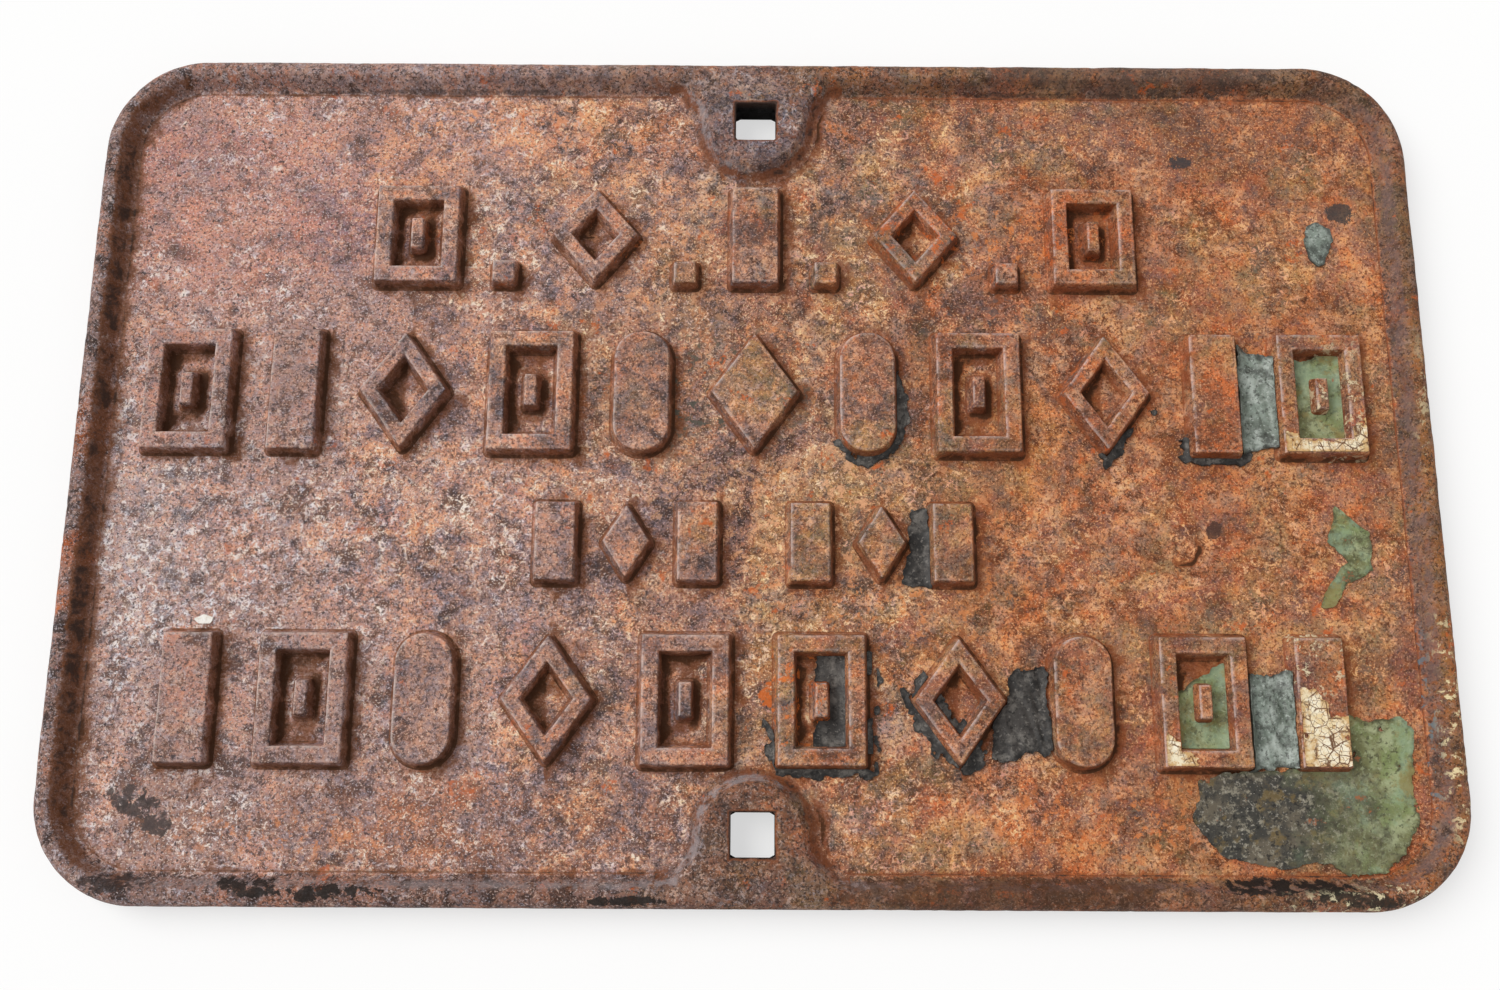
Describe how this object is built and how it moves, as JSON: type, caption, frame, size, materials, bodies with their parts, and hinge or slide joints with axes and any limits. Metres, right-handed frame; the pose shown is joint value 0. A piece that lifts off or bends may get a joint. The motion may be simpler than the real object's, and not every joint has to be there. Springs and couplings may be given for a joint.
{
  "type": "cast iron railway sign",
  "caption": "Flat oblong cast iron sign plate with rounded corners, a raised rim, rows of plain raised blocks and square bolt holes in bosses, bolted to a post beside a railway line.",
  "frame": {"origin": "middle of the sign's flat back, which lies on z = 0", "axes": "+X along the sign's width to the right as read from the front, +Y towards its top edge, +Z out of its face"},
  "size_m": [0.66, 0.42, 0.019],
  "materials": {
    "rusted_field": "sand-cast grey iron with old mottled brown rust and scraps of dark and green paint",
    "rusted_rim": "sand-cast grey iron, worn dark brown rust on the crown",
    "rusted_relief": "sand-cast grey iron, brown rust with scraps of cream paint on the faces",
    "old_paint": "aged, lifting oil paint film, green over a dark undercoat",
    "cream_paint": "aged, cracked cream oil paint"
  },
  "bodies": {
    "root": {"field_plate": "rusted_field", "top_boss": "rusted_rim", "bottom_boss": "rusted_rim", "rim_left": "rusted_rim", "rim_right": "rusted_rim", "rim_top_left": "rusted_rim", "rim_top_right": "rusted_rim", "rim_bottom_left": "rusted_rim", "rim_bottom_right": "rusted_rim", "rim_corner_top_left": "rusted_rim", "rim_corner_top_right": "rusted_rim", "rim_corner_bottom_left": "rusted_rim", "rim_corner_bottom_right": "rusted_rim", "row_1_panels": "rusted_relief", "row_1_bars": "rusted_relief", "row_1_open_lozenges": "rusted_relief", "row_1_slab": "rusted_relief", "row_1_stops": "rusted_relief", "row_2_panels": "rusted_relief", "row_2_bars": "rusted_relief", "row_2_slabs": "rusted_relief", "row_2_open_lozenges": "rusted_relief", "row_2_ovals": "rusted_relief", "row_2_lozenge": "rusted_relief", "row_3_slabs": "rusted_relief", "row_3_lozenges": "rusted_relief", "row_4_panels": "rusted_relief", "row_4_bars": "rusted_relief", "row_4_slabs": "rusted_relief", "row_4_ovals": "rusted_relief", "row_4_open_lozenges": "rusted_relief"}
  },
  "joints": []
}
